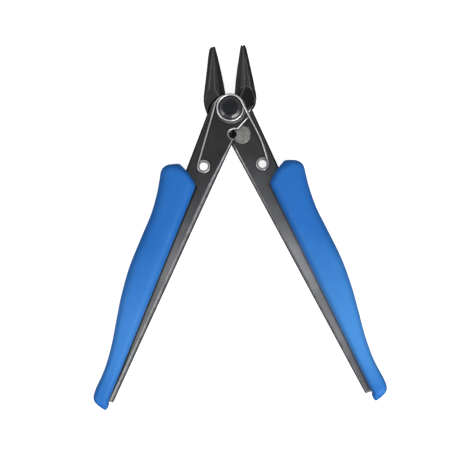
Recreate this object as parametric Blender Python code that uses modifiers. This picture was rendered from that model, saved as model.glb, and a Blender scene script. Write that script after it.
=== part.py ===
"""Sprue nippers: two lap-jointed steel halves on a rivet, a wire return spring and moulded grips.

The tool lies flat, opened to its stop. +X is right, +Y runs from the pivot to the jaw tips and +Z
points away from the surface it lies on. The origin is on the pivot axis, at the flat rear face of
the rivet. The front half is the left arm with the right jaw. The rear half is its mirror image, apart
from the notch beside the pivot and the trim of its jaw and arm.
"""

from math import cos, pi, radians, sin, sqrt

import bmesh
import bpy
from mathutils import Matrix, Vector

MM = 0.001
CONTACT_GAP = 0.2 * MM
RUNNING_GAP = 0.1 * MM
ROUND_STEPS = 40
SMOOTH_ANGLE = radians(30)

# Layers along Z, from the rivet's rear face forwards.
REAR_HEAD_HEIGHT = 1.0 * MM
PLATE = 2.6 * MM
REAR_LAYER = (REAR_HEAD_HEIGHT + CONTACT_GAP, REAR_HEAD_HEIGHT + CONTACT_GAP + PLATE)
FRONT_LAYER = (REAR_LAYER[1] + CONTACT_GAP, REAR_LAYER[1] + CONTACT_GAP + PLATE)
JAW_BACK = REAR_LAYER[0]
JAW_FRONT = FRONT_LAYER[1]
MATING_PLANE = (REAR_LAYER[1] + FRONT_LAYER[0]) / 2

# Steel halves, drawn for the front half: its arm runs to -X and its jaw to +X.
HEAD_CENTRE = Vector((-0.3, -2.5)) * MM
HEAD_RADIUS = 7.18 * MM
HEAD_ARC = (157.3, 84.0)
ARM_SHOULDER = Vector((-15.4, -20.0)) * MM
ARM_END_OUTER = Vector((-46.2, -96.2)) * MM
NOTCH_CENTRE = Vector((0.58, -8.8)) * MM
NOTCH_RADIUS = 1.3 * MM
RECESS_RADIUS = 1.25 * MM
RECESS_DEPTH = 1.0 * MM
NOTCH_ARC = (80.0, 275.0)
HEAD_LIP = Vector((2.47, -7.5)) * MM
HEAD_CORNER = Vector((6.85, -3.1)) * MM
JAW_BASE = [(3.4, 3.0), (6.0, 3.4)]
JAW_ROOT = [(1.3, 2.0), (3.5, -0.8)]
SHOULDER_INSIDE = [(2.5, 3.4), (4.0, -4.0), (0.0, -24.0)]
FRONT_SHAPE = {
    "inner_edge": [(1.05, -10.3), (-42.7, -97.4)],
    "notch_steps": 10,
    "heel": [(6.67, -1.54), (7.9, -0.25), (8.5, 0.8)],
    "jaw_edge": [(4.27, 21.25), (3.42, 17.3), (2.14, 9.4), (1.58, 4.6)],
    "jaw_side": [
        (8.92, 2.75), (8.88, 4.2), (8.1, 9.2), (7.3, 13.6), (6.68, 17.2), (6.1, 20.2), (5.6, 21.2),
    ],
}
REAR_SHAPE = {
    "inner_edge": [(1.05, -10.3), (-42.05, -97.4)],
    "notch_steps": 0,
    "heel": [(7.75, -2.1), (8.35, -0.4), (8.7, 1.0)],
    "jaw_edge": [(4.4, 21.0), (3.53, 17.3), (2.71, 12.8), (2.06, 9.4), (1.42, 4.6)],
    "jaw_side": [
        (8.92, 2.75), (8.8, 4.2), (8.03, 9.2), (7.4, 13.6), (6.93, 17.2), (6.42, 20.1), (5.9, 20.75),
    ],
}

# Ground facets of a jaw: three points on each plane, in millimetres above the jaw's back face.
FACETS = {
    "taper": ((0.0, 6.6, 5.4), (9.0, 6.6, 5.4), (5.0, 21.0, 1.9)),
    "edge_bevel": ((4.24, 21.0, 0.35), (1.34, 4.3, 0.35), (3.5, 4.3, 5.4)),
    "inner_bevel": ((5.0, 21.0, 1.9), (5.0, 6.6, 5.4), (3.6, 6.6, 4.7)),
    "outer_bevel": ((5.15, 21.0, 1.9), (6.9, 6.6, 5.4), (7.9, 6.6, 5.0)),
    "outer_chamfer": ((5.5, 21.0, 1.4), (7.6, 6.6, 4.9), (8.3, 6.6, 3.6)),
}
CUTTER_SIZE = 120 * MM
NICK_PLACE = Vector((4.9, 21.28)) * MM
NICK_SIZE = 0.5 * MM

# Pivot.
SHANK_RADIUS = 2.4 * MM
FRONT_HEAD_RADIUS = 3.8 * MM
FRONT_HEAD_FLAT = 2.5 * MM
FRONT_HEAD_SLOPE = 0.75 * MM
REAR_HEAD_RADIUS = 4.2 * MM
REAR_HEAD_CHAMFER = 0.35 * MM
WASHER_RADIUS = 5.0 * MM
WASHER_BORE = 3.0 * MM
WASHER_THICKNESS = 0.4 * MM
WASHER_OFFSET = Vector((0.3, -0.35, 0.0)) * MM
WASHER_BACK = JAW_FRONT + CONTACT_GAP
FRONT_HEAD_BACK = WASHER_BACK + WASHER_THICKNESS + CONTACT_GAP
FRONT_HEAD_TOP = 9.8 * MM

# Return spring.
WIRE_RADIUS = 0.4 * MM
COIL_RADIUS = 4.38 * MM
COIL_FIRST_RADIUS = 5.15 * MM
COIL_PITCH = 0.95 * MM
COIL_TURNS = 1
COIL_TIGHT_SHARE = 0.13
COIL_BACK = WASHER_BACK + WASHER_THICKNESS + CONTACT_GAP + WIRE_RADIUS
EYE_RADIUS = 1.97 * MM
EYE_PLACES = {-1: Vector((-9.62, -19.34)) * MM, 1: Vector((10.16, -19.09)) * MM}
EYE_SWEEP = 320.0
EYE_LIFT = CONTACT_GAP + WIRE_RADIUS
LEFT_LEG_BOW = 0.0
RIGHT_LEG_BOW = 1.4 * MM
LEG_STEPS = 9
EYE_STEPS = 18
COIL_STEPS = 34

# Eyelets and stud.
EYELET_BORE = 1.36 * MM
EYELET_BARREL = 1.5 * MM
EYELET_FLANGE = 1.85 * MM
EYELET_SHEET = 0.22 * MM
EYELET_STEPS = 28
STUD_PLACE = Vector((3.4, -8.9)) * MM
STUD_RADIUS = 3.2 * MM
STUD_TAIL_RADIUS = 1.5 * MM
STUD_TAIL_DEPTH = 1.2 * MM

# Grips, in millimetres: s runs down beside the straight inner edge, and w stands square to it, outwards.
GRIP_TOP = Vector((12.55, -24.7)) * MM
GRIP_AXIS = Vector((31.45, -72.7)).normalized()
GRIP_SIDE = Vector((-GRIP_AXIS.y, GRIP_AXIS.x))
GRIP_START = -3.95
GRIP_END = 82.1
GRIP_INNER = [
    (-3.95, 8.0), (-3.7, 7.3), (-3.1, 5.1), (-2.05, 3.05), (-1.0, 1.55), (0.0, 0.25), (0.8, -0.4),
    (1.6, -0.65), (79.0, 0.4), (80.0, -0.1), (81.5, -0.15), (82.1, 0.3),
]
GRIP_OUTER = [
    (-3.95, 8.6), (-3.2, 9.4), (-2.3, 10.9), (-0.8, 12.0), (0.8, 12.22), (3.0, 11.75), (8.0, 10.79),
    (15.0, 10.09), (23.0, 10.25), (34.0, 10.4), (44.0, 9.45), (52.0, 8.05), (60.0, 6.54), (67.0, 5.72),
    (71.5, 5.65), (76.0, 5.95), (78.5, 5.85), (79.5, 5.6), (80.3, 5.15), (80.9, 4.45), (81.3, 3.55),
    (81.7, 2.3), (82.1, 0.7),
]
GRIP_HALF_THICKNESS = 6.0 * MM
GRIP_CROWN = 1.05
GRIP_POWER = 2.6
GRIP_LEAST_HALF_WIDTH = 0.25
GRIP_END_ROUNDING = 3.5
GRIP_END_POWER = 2.4
GRIP_END_FLAT = 0.02
GRIP_STATIONS = 44
GRIP_END_CROWDING = 0.65
GRIP_SIDES = 24
SLOT_PAST_ARM = 4 * MM
SLOT_PAST_SHOULDER = Vector((0.0, 12.0)) * MM


def clear_scene():
    for obj in list(bpy.data.objects):
        bpy.data.objects.remove(obj, do_unlink=True)


def new_collection(name):
    collection = bpy.data.collections.new(name)
    bpy.context.scene.collection.children.link(collection)
    return collection


def new_material(name, color, roughness, metallic):
    material = bpy.data.materials.new(name)
    material.use_nodes = True
    shader = material.node_tree.nodes["Principled BSDF"]
    shader.inputs["Base Color"].default_value = (*color, 1.0)
    shader.inputs["Roughness"].default_value = roughness
    shader.inputs["Metallic"].default_value = metallic
    return material


def flat(points):
    """Millimetre pairs as vectors in metres."""
    return [Vector(point) * MM for point in points]


def arc(centre, radius, start, end, steps):
    """Points on a circle from one angle to another, in degrees."""
    angles = [radians(start + (end - start) * i / steps) for i in range(steps + 1)]
    return [centre + radius * Vector((cos(a), sin(a))) for a in angles]


def mirrored(points):
    return [Vector((-point.x, point.y)) for point in points]


def shifted(start, end, distance):
    """The two ends of a straight edge, moved sideways to the right of its direction."""
    along = (end - start).normalized()
    step = Vector((along.y, -along.x)) * distance
    return [start + step, end + step]


def add_object(name, mesh, collection):
    obj = bpy.data.objects.new(name, mesh)
    collection.objects.link(obj)
    return obj


def prism(name, outline, low, high, collection):
    """An extruded flat outline between two heights, as one closed mesh."""
    curve = bpy.data.curves.new(name, "CURVE")
    curve.dimensions = "2D"
    curve.fill_mode = "BOTH"
    curve.extrude = (high - low) / 2
    spline = curve.splines.new("POLY")
    spline.points.add(len(outline) - 1)
    for point, place in zip(spline.points, outline):
        point.co = (place.x, place.y, 0.0, 1.0)
    spline.use_cyclic_u = True
    drawn = add_object(name + "_outline", curve, collection)
    bpy.context.view_layer.update()
    graph = bpy.context.evaluated_depsgraph_get()
    mesh = bpy.data.meshes.new_from_object(drawn.evaluated_get(graph))
    bpy.data.objects.remove(drawn, do_unlink=True)
    shell = bmesh.new()
    shell.from_mesh(mesh)
    bmesh.ops.remove_doubles(shell, verts=shell.verts, dist=1e-6)
    bmesh.ops.translate(shell, verts=shell.verts, vec=(0.0, 0.0, (low + high) / 2))
    bmesh.ops.recalc_face_normals(shell, faces=shell.faces)
    shell.to_mesh(mesh)
    shell.free()
    return add_object(name, mesh, collection)


def cylinder(name, radius, low, high, place, collection, steps=ROUND_STEPS):
    shell = bmesh.new()
    middle = Matrix.Translation((place.x, place.y, (low + high) / 2))
    bmesh.ops.create_cone(
        shell,
        cap_ends=True,
        segments=steps,
        radius1=radius,
        radius2=radius,
        depth=high - low,
        matrix=middle,
    )
    mesh = bpy.data.meshes.new(name)
    shell.to_mesh(mesh)
    shell.free()
    return add_object(name, mesh, collection)


def turned(name, profile, place, collection):
    """A closed profile of (radius, height) pairs, turned about a vertical axis at the place."""
    mesh = bpy.data.meshes.new(name)
    points = [(radius, 0.0, height) for radius, height in profile]
    closed = profile[0][0] > 0
    count = len(points)
    edges = [(i, (i + 1) % count) for i in range(count if closed else count - 1)]
    mesh.from_pydata(points, edges, [])
    obj = add_object(name, mesh, collection)
    obj.location = place
    screw = obj.modifiers.new("Turn", "SCREW")
    screw.steps = ROUND_STEPS
    screw.render_steps = ROUND_STEPS
    screw.use_merge_vertices = True
    screw.merge_threshold = 0.000001
    screw.use_smooth_shade = True
    return obj


def as_cutter(obj):
    obj.hide_render = True
    obj.display_type = "WIRE"
    return obj


def combine(target, other, operation):
    boolean = target.modifiers.new(operation.title(), "BOOLEAN")
    boolean.operation = operation
    boolean.object = as_cutter(other)


def facet_cutter(name, corners, side, collection):
    """A large block that stands on the plane through three points, on its upper side."""
    first, second, third = [
        Vector((side * x * MM, y * MM, JAW_BACK + z * MM)) for x, y, z in corners
    ]
    along = (second - first).normalized()
    normal = along.cross(third - first).normalized()
    if normal.z < 0:
        normal = -normal
    across = normal.cross(along)
    shell = bmesh.new()
    bmesh.ops.create_cube(shell, size=CUTTER_SIZE)
    mesh = bpy.data.meshes.new(name)
    shell.to_mesh(mesh)
    shell.free()
    turn = Matrix((along, across, normal)).transposed().to_4x4()
    obj = add_object(name, mesh, collection)
    obj.matrix_world = Matrix.Translation(first + normal * CUTTER_SIZE / 2) @ turn
    return obj


def plate_outline(shape):
    """The flat part of a half: arm, head and heel, in its own layer only."""
    head = arc(HEAD_CENTRE, HEAD_RADIUS, *HEAD_ARC, 12)
    base = flat([*JAW_BASE, shape["jaw_side"][0]])
    outside = flat(reversed(shape["heel"]))
    steps = shape["notch_steps"]
    notch = arc(NOTCH_CENTRE, NOTCH_RADIUS, *NOTCH_ARC, steps) if steps else []
    inside = [HEAD_CORNER, HEAD_LIP, *notch, *flat(shape["inner_edge"])]
    return [*head, *base, *outside, *inside, ARM_END_OUTER, ARM_SHOULDER]


def jaw_outline(shape):
    """The full-thickness part of a half, from its tip to its root inside the head."""
    return flat([*shape["jaw_edge"], *JAW_ROOT, *shape["heel"], *shape["jaw_side"]])


def shoulder_outline():
    """The space that the other half's head and arm need beside a jaw, with a contact gap."""
    head = arc(HEAD_CENTRE, HEAD_RADIUS + CONTACT_GAP, *HEAD_ARC, 12)
    tangent = arc(HEAD_CENTRE, HEAD_RADIUS, HEAD_ARC[0], HEAD_ARC[0], 1)[0]
    arm = shifted(ARM_SHOULDER, tangent, -CONTACT_GAP)
    return [arm[0], *head, *flat(SHOULDER_INSIDE)]


def make_half(name, side, layer, other_space, shape, parts, cutters):
    """A steel half. Side 1 is as drawn, -1 is its mirror image; the layer holds its arm."""
    pick = list if side > 0 else mirrored
    plate = prism(name + "_plate", pick(plate_outline(shape)), *layer, cutters)
    half = prism(name, pick(jaw_outline(shape)), JAW_BACK, JAW_FRONT, parts)
    for facet, corners in FACETS.items():
        cutter = facet_cutter(f"{name}_{facet}", corners, side, cutters)
        combine(half, cutter, "DIFFERENCE")
    other = mirrored if side > 0 else list
    shoulder = prism(name + "_shoulder", other(shoulder_outline()), *other_space, cutters)
    combine(half, shoulder, "DIFFERENCE")
    combine(half, plate, "UNION")
    reach = (JAW_BACK - PLATE, JAW_FRONT + PLATE)
    bore = cylinder(name + "_bore", SHANK_RADIUS + RUNNING_GAP, *reach, Vector((0, 0)), cutters)
    combine(half, bore, "DIFFERENCE")
    eye = EYE_PLACES[-side]
    hole_radius = EYELET_BARREL + RUNNING_GAP
    hole = cylinder(name + "_eyelet_hole", hole_radius, *reach, eye, cutters, EYELET_STEPS)
    combine(half, hole, "DIFFERENCE")
    return half


def make_nick(half, cutters):
    """The small vee in the tip of the front half's jaw."""
    nick = cylinder("tip_nick", NICK_SIZE, 0.0, JAW_FRONT, NICK_PLACE, cutters, 4)
    combine(half, nick, "DIFFERENCE")


def make_stud(parts, rear_half, cutters):
    """A flush stud in a stepped hole through the rear half, with a blind recess cut into both beside it."""
    back, front = REAR_LAYER
    step = front - STUD_TAIL_DEPTH
    profile = [
        (0.0, front),
        (STUD_RADIUS, front),
        (STUD_RADIUS, step),
        (STUD_TAIL_RADIUS, step),
        (STUD_TAIL_RADIUS, back),
        (0.0, back),
    ]
    place = STUD_PLACE.to_3d()
    stud = turned("stud", profile, place, parts)
    seat_back = step - CONTACT_GAP
    seat = cylinder("stud_seat", STUD_RADIUS + RUNNING_GAP, seat_back, JAW_FRONT, STUD_PLACE, cutters)
    combine(rear_half, seat, "DIFFERENCE")
    hole = cylinder("stud_hole", STUD_TAIL_RADIUS + RUNNING_GAP, 0.0, JAW_FRONT, STUD_PLACE, cutters)
    combine(rear_half, hole, "DIFFERENCE")
    recess = cylinder("recess", RECESS_RADIUS, front - RECESS_DEPTH, JAW_FRONT, NOTCH_CENTRE, cutters)
    combine(rear_half, recess, "DIFFERENCE")
    combine(stud, recess, "DIFFERENCE")
    return stud


def make_rivet(parts):
    """A rivet with a sloped front head and a flat, chamfered rear head."""
    profile = [
        (0.0, FRONT_HEAD_TOP),
        (FRONT_HEAD_FLAT, FRONT_HEAD_TOP),
        (FRONT_HEAD_RADIUS, FRONT_HEAD_TOP - FRONT_HEAD_SLOPE),
        (FRONT_HEAD_RADIUS, FRONT_HEAD_BACK),
        (SHANK_RADIUS, FRONT_HEAD_BACK),
        (SHANK_RADIUS, REAR_HEAD_HEIGHT),
        (REAR_HEAD_RADIUS, REAR_HEAD_HEIGHT),
        (REAR_HEAD_RADIUS, REAR_HEAD_CHAMFER),
        (REAR_HEAD_RADIUS - REAR_HEAD_CHAMFER, 0.0),
        (0.0, 0.0),
    ]
    return turned("pivot_rivet", profile, Vector((0, 0, 0)), parts)


def make_washer(parts):
    top = WASHER_BACK + WASHER_THICKNESS
    profile = [
        (WASHER_RADIUS, top),
        (WASHER_RADIUS, WASHER_BACK),
        (WASHER_BORE, WASHER_BACK),
        (WASHER_BORE, top),
    ]
    return turned("spring_washer", profile, WASHER_OFFSET, parts)


def make_eyelet(name, side, layer, parts):
    """A hollow rivet: barrel, a flange over the spring's eye and a rolled edge at the back."""
    back, front = layer
    flange_back = front + EYE_LIFT + WIRE_RADIUS + RUNNING_GAP
    roll_front = back - RUNNING_GAP
    profile = [
        (EYELET_BORE, flange_back + EYELET_SHEET),
        (EYELET_FLANGE, flange_back + EYELET_SHEET),
        (EYELET_FLANGE, flange_back),
        (EYELET_BARREL, flange_back),
        (EYELET_BARREL, roll_front),
        (EYELET_FLANGE, roll_front),
        (EYELET_FLANGE, roll_front - EYELET_SHEET),
        (EYELET_BORE, roll_front - EYELET_SHEET),
    ]
    return turned(name, profile, EYE_PLACES[side].to_3d(), parts)


def leg_normal(eye, coil_radius, side):
    """Unit vector from the pivot to where the leg touches the coil, on the leg's outer side."""
    span = eye.length
    along = eye / span
    outward = Vector((along.y, -along.x)) * -side
    lean = (coil_radius - EYE_RADIUS) / span
    return along * lean + outward * sqrt(1 - lean * lean)


def leg_points(coil_radius, coil_height, eye_height, side, bow):
    """From the coil down to the eye, bowed outwards, then most of the way round the eye."""
    eye = EYE_PLACES[side]
    normal = leg_normal(eye, coil_radius, side)
    start = (normal * coil_radius).to_3d() + Vector((0, 0, coil_height))
    end = (eye + normal * EYE_RADIUS).to_3d() + Vector((0, 0, eye_height))
    run = []
    for i in range(LEG_STEPS + 1):
        share = i / LEG_STEPS
        run.append(start.lerp(end, share) + normal.to_3d() * bow * share * sin(pi * share))
    first = normal.to_3d() * EYE_RADIUS
    for i in range(1, EYE_STEPS + 1):
        turn = Matrix.Rotation(-side * radians(EYE_SWEEP) * i / EYE_STEPS, 3, "Z")
        run.append(eye.to_3d() + turn @ first + Vector((0, 0, eye_height)))
    return run


def spring_points():
    """Left eye and leg, a clockwise coil of a turn and the overlap at the top, right leg and eye."""
    left = leg_normal(EYE_PLACES[-1], COIL_FIRST_RADIUS, -1)
    right = leg_normal(EYE_PLACES[1], COIL_RADIUS, 1)
    sweep = left.angle(right) + 2 * pi * COIL_TURNS
    coil = []
    for i in range(1, COIL_STEPS):
        share = i / COIL_STEPS
        tight = min(1.0, share / COIL_TIGHT_SHARE)
        radius = COIL_FIRST_RADIUS + (COIL_RADIUS - COIL_FIRST_RADIUS) * tight
        turn = Matrix.Rotation(-sweep * share, 2)
        place = turn @ left * radius
        height = COIL_BACK + COIL_PITCH * sweep * share / (2 * pi)
        coil.append(Vector((place.x, place.y, height)))
    coil_top = COIL_BACK + COIL_PITCH * sweep / (2 * pi)
    left_leg = leg_points(COIL_FIRST_RADIUS, COIL_BACK, FRONT_LAYER[1] + EYE_LIFT, -1, LEFT_LEG_BOW)
    right_leg = leg_points(COIL_RADIUS, coil_top, REAR_LAYER[1] + EYE_LIFT, 1, RIGHT_LEG_BOW)
    return [*reversed(left_leg), *coil, *right_leg]


def make_spring(parts):
    curve = bpy.data.curves.new("return_spring", "CURVE")
    curve.dimensions = "3D"
    curve.bevel_depth = WIRE_RADIUS
    curve.bevel_resolution = 2
    curve.use_fill_caps = True
    points = spring_points()
    spline = curve.splines.new("POLY")
    spline.points.add(len(points) - 1)
    for point, place in zip(spline.points, points):
        point.co = (*place, 1.0)
    return add_object("return_spring", curve, parts)


def through(points, x):
    """Height at x of a smooth curve through the points, which run in order of x."""
    last = len(points) - 2
    i = min(last, max(0, sum(1 for point in points if point[0] <= x) - 1))
    (x0, y0), (x1, y1) = points[i], points[i + 1]
    before = points[i - 1] if i > 0 else points[i]
    after = points[i + 2] if i < last else points[i + 1]
    span = x1 - x0
    slope0 = (y1 - before[1]) / (x1 - before[0]) * span
    slope1 = (after[1] - y0) / (after[0] - x0) * span
    t = min(1.0, max(0.0, (x - x0) / span))
    rise = y0 * (2 * t**3 - 3 * t**2 + 1) + y1 * (3 * t**2 - 2 * t**3)
    return rise + slope0 * (t**3 - 2 * t**2 + t) + slope1 * (t**3 - t**2)


def straight(points, x):
    for (x0, y0), (x1, y1) in zip(points, points[1:]):
        if x <= x1:
            return y0 + (y1 - y0) * (x - x0) / (x1 - x0)
    return points[-1][1]


def power(value):
    """Superellipse coordinate of a sine or cosine."""
    size = abs(value) ** (2 / GRIP_POWER)
    return size if value >= 0 else -size


def grip_section(s, side):
    """One closed section of a grip, square to its inner edge."""
    low = straight(GRIP_INNER, s)
    high = through(GRIP_OUTER, s)
    half_width = max(GRIP_LEAST_HALF_WIDTH, (high - low) / 2) * MM
    middle = (low + high) / 2 * MM
    room = min(s - GRIP_START, GRIP_END - s) / GRIP_END_ROUNDING
    short = 1 - min(1.0, room + GRIP_END_FLAT)
    fill = (1 - short**GRIP_END_POWER) ** (1 / GRIP_END_POWER)
    half_thickness = GRIP_HALF_THICKNESS * fill
    ring = []
    for i in range(GRIP_SIDES):
        angle = 2 * pi * i / GRIP_SIDES
        w = middle + half_width * power(cos(angle))
        crown = half_thickness * GRIP_CROWN * power(sin(angle))
        z = max(-half_thickness, min(half_thickness, crown))
        place = GRIP_TOP + GRIP_AXIS * s * MM + GRIP_SIDE * w
        ring.append((side * place.x, place.y, MATING_PLANE + z))
    return ring


def make_grip(name, side, layer, inner_edge, parts, cutters):
    """A lofted handle, slotted for the arm of the half that it is moulded on."""
    shell = bmesh.new()
    rings = []
    for i in range(GRIP_STATIONS + 1):
        even = i / GRIP_STATIONS
        crowded = (1 - cos(pi * even)) / 2
        share = even + (crowded - even) * GRIP_END_CROWDING
        s = GRIP_START + (GRIP_END - GRIP_START) * share
        rings.append([shell.verts.new(point) for point in grip_section(s, side)])
    for ring, after in zip(rings, rings[1:]):
        for j in range(GRIP_SIDES):
            k = (j + 1) % GRIP_SIDES
            shell.faces.new((ring[j], ring[k], after[k], after[j]))
    shell.faces.new(rings[0])
    shell.faces.new(rings[-1])
    bmesh.ops.recalc_face_normals(shell, faces=shell.faces)
    mesh = bpy.data.meshes.new(name)
    shell.to_mesh(mesh)
    shell.free()
    grip = add_object(name, mesh, parts)
    edge = shifted(ARM_END_OUTER, ARM_SHOULDER, -CONTACT_GAP)
    inner_top, inner_end = flat(inner_edge)
    foot = shifted(inner_end, ARM_END_OUTER, -CONTACT_GAP)
    inner = shifted(inner_end, inner_top, SLOT_PAST_ARM)
    slot = [foot[1], edge[0], edge[1], ARM_SHOULDER + SLOT_PAST_SHOULDER, inner[1], inner[0]]
    pick = mirrored if side > 0 else list
    low = layer[0] - CONTACT_GAP
    high = layer[1] + CONTACT_GAP
    combine(grip, prism(name + "_slot", pick(slot), low, high, cutters), "DIFFERENCE")
    return grip


def shade_smooth(obj):
    if obj.type == "MESH":
        obj.data.shade_smooth()
        obj.data.set_sharp_from_angle(angle=SMOOTH_ANGLE)


def main():
    clear_scene()
    parts = new_collection("sprue_nippers")
    cutters = new_collection("cutters")
    black_steel = new_material("black_steel", (0.035, 0.035, 0.038), 0.38, 0.85)
    bare_steel = new_material("bare_steel", (0.36, 0.35, 0.33), 0.42, 1.0)
    spring_steel = new_material("spring_steel", (0.62, 0.62, 0.63), 0.22, 1.0)
    blue_plastic = new_material("blue_plastic", (0.02, 0.16, 0.60), 0.45, 0.0)

    front_space = (REAR_LAYER[0] - PLATE, FRONT_LAYER[0])
    rear_space = (REAR_LAYER[1], FRONT_LAYER[1] + PLATE)
    front_half = make_half("front_half", 1, FRONT_LAYER, front_space, FRONT_SHAPE, parts, cutters)
    rear_half = make_half("rear_half", -1, REAR_LAYER, rear_space, REAR_SHAPE, parts, cutters)
    make_nick(front_half, cutters)
    finishes = {
        front_half: black_steel,
        rear_half: black_steel,
        make_rivet(parts): black_steel,
        make_washer(parts): black_steel,
        make_spring(parts): spring_steel,
        make_stud(parts, rear_half, cutters): bare_steel,
        make_eyelet("front_eyelet", -1, FRONT_LAYER, parts): bare_steel,
        make_eyelet("rear_eyelet", 1, REAR_LAYER, parts): bare_steel,
        make_grip("left_grip", -1, FRONT_LAYER, FRONT_SHAPE["inner_edge"], parts, cutters): blue_plastic,
        make_grip("right_grip", 1, REAR_LAYER, REAR_SHAPE["inner_edge"], parts, cutters): blue_plastic,
    }
    for obj, material in finishes.items():
        obj.data.materials.append(material)
        shade_smooth(obj)


main()
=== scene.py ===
"""Sprue nippers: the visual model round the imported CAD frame, on a pale studio floor.

Everything is in metres in the CAD's own frame: +X right, +Y from the pivot to the jaw tips, +Z away
from the surface that the tool lies on, and the origin on the pivot axis at the rivet's rear face.
"""

from math import cos, pi, radians, sin, sqrt

import bmesh
import bpy
from mathutils import Matrix, Vector, noise


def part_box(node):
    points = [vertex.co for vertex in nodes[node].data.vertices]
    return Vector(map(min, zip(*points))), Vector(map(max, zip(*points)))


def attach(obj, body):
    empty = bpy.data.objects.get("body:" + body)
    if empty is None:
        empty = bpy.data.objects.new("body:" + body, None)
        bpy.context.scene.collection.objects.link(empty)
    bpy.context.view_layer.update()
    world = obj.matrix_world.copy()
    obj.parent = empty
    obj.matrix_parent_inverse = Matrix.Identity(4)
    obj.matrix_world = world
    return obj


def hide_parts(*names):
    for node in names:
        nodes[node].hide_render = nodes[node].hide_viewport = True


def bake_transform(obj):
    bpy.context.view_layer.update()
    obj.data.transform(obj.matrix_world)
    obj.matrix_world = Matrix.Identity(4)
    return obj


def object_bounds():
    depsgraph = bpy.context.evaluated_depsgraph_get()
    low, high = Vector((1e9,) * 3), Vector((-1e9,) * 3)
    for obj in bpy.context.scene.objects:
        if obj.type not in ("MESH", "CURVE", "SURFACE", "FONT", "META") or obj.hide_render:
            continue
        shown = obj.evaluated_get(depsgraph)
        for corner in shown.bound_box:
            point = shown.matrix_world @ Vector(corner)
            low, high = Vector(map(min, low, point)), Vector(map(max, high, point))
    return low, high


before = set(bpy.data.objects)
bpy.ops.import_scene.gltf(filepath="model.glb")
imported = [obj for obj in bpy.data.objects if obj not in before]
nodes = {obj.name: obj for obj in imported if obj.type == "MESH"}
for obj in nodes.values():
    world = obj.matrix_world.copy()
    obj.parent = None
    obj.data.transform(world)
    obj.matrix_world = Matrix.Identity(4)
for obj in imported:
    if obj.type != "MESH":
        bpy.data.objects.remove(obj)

for leftover in ("Cube", "Light", "Camera"):
    if leftover in bpy.data.objects:
        bpy.data.objects.remove(bpy.data.objects[leftover], do_unlink=True)
cad_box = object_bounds()

MM = 0.001
scene = bpy.context.scene

# ---------------------------------------------------------------- geometry, from the frame where it holds it
def middle(name):
    low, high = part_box(name)
    return (low + high) / 2


FRONT_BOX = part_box("front_half")
REAR_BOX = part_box("rear_half")
RIVET_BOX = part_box("pivot_rivet")
WASHER_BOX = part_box("spring_washer")
STUD_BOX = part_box("stud")
FRONT_TOP = FRONT_BOX[1].z
JAW_BACK = REAR_BOX[0].z
REAR_TOP = STUD_BOX[1].z
PLATE = REAR_TOP - JAW_BACK
FRONT_BACK = FRONT_TOP - PLATE
MATING_PLANE = (REAR_TOP + FRONT_BACK) / 2
FLOOR = cad_box[0].z
NOTCH = Vector((0.58, -8.8, 0.0)) * MM
STUD_PLACE = Vector((STUD_BOX[1].x - 3.2 * MM, (STUD_BOX[0].y + STUD_BOX[1].y) / 2, REAR_TOP))
RECESS_RADIUS = 1.25 * MM
RECESS_DEPTH = 1.0 * MM

# Grips, in millimetres: s runs down beside the straight inner edge, and w stands square to it, outwards.
# Each outline is a list of (s, w).
GRIP_TOP = Vector((12.55, -24.7)) * MM
GRIP_AXIS = Vector((31.45, -72.7)).normalized()
GRIP_SIDE = Vector((-GRIP_AXIS.y, GRIP_AXIS.x))
GRIP_START = -3.9
GRIP_END = 82.1
GRIP_INNER = [
    (-3.9, 6.9), (-3.7, 6.5), (-3.1, 5.1), (-2.05, 3.05), (-1.0, 1.55), (0.0, 0.25), (0.8, -0.4),
    (1.6, -0.65), (79.0, 0.4), (80.0, -0.1), (81.5, -0.15), (82.1, 0.3),
]
GRIP_OUTER = [
    (-3.9, 7.6), (-3.55, 8.5), (-3.15, 9.3), (-2.3, 10.85), (-0.8, 12.0), (0.8, 12.22), (3.0, 11.75),
    (8.0, 10.79), (15.0, 10.09), (23.0, 10.25), (34.0, 10.4), (44.0, 9.45), (52.0, 8.05), (60.0, 6.54),
    (67.0, 5.72), (71.5, 5.65), (76.0, 5.95), (78.5, 5.85), (79.5, 5.6), (80.3, 5.15), (80.9, 4.45),
    (81.3, 3.55), (81.7, 2.3), (82.1, 0.7),
]
GRIP_HALF = (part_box("right_grip")[1].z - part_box("right_grip")[0].z) / 2
GRIP_POWER = 3.4
GRIP_END_ROUNDING = 3.5
GRIP_STATIONS = 190
GRIP_SIDES = 72


# ---------------------------------------------------------------- small helpers
def link(obj):
    scene.collection.objects.link(obj)
    return obj


def finish_piece(obj, body, slot, *replaced):
    if body:
        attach(obj, body)
    if replaced:
        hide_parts(*replaced)
    return obj


def smooth_all(mesh):
    mesh.polygons.foreach_set("use_smooth", [True] * len(mesh.polygons))


def fillet(profile, corners, steps=5):
    """A polyline with some of its corners rounded: corners is {index: radius}."""
    points = []
    count = len(profile)
    for i, point in enumerate(profile):
        radius = corners.get(i, 0.0)
        if not radius:
            points.append(Vector(point))
            continue
        here = Vector(point)
        before = Vector(profile[(i - 1) % count]) - here
        after = Vector(profile[(i + 1) % count]) - here
        reach = min(radius, before.length * 0.48, after.length * 0.48)
        start = here + before.normalized() * reach
        end = here + after.normalized() * reach
        for j in range(steps + 1):
            t = j / steps
            points.append(start * (1 - t) ** 2 + here * 2 * t * (1 - t) + end * t**2)
    return points


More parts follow.
